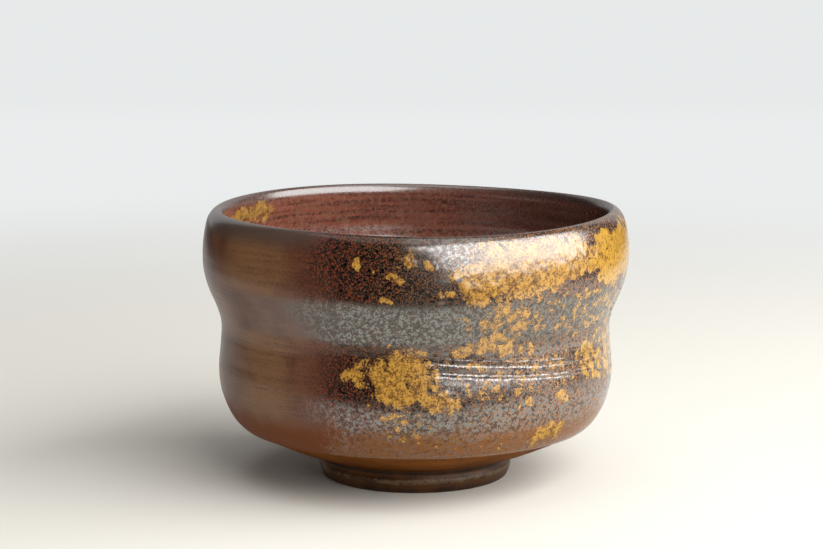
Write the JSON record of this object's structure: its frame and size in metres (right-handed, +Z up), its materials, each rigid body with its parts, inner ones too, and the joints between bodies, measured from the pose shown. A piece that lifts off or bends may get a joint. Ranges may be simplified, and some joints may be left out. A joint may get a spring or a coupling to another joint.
{
  "type": "tea bowl",
  "caption": "Wheel-thrown stoneware tea bowl with a waisted wall, rounded lip, low foot ring and crusts of ochre ash over a dark glaze.",
  "frame": {"origin": "on the bowl's axis, at the surface that the foot ring stands on", "axes": "+Z up along the axis the bowl was thrown about; -Y is the front, which shows the ash at its right"},
  "size_m": [0.126, 0.126, 0.08],
  "materials": {
    "clay": "bare fired stoneware, satin, with trimming lines",
    "foot_clay": "dark fired stoneware, satin",
    "iron_glaze": "glossy iron brown with fine dark speckle",
    "lining_glaze": "glossy reddish brown with a fine mottle",
    "ash": "grainy ochre ash, half glossy"
  },
  "bodies": {
    "root": {"clay_body": "clay", "foot_ring": "foot_clay", "outer_glaze": "iron_glaze", "inner_glaze": "lining_glaze", "ochre_ash": "ash", "lip_ash": "ash"}
  },
  "joints": []
}
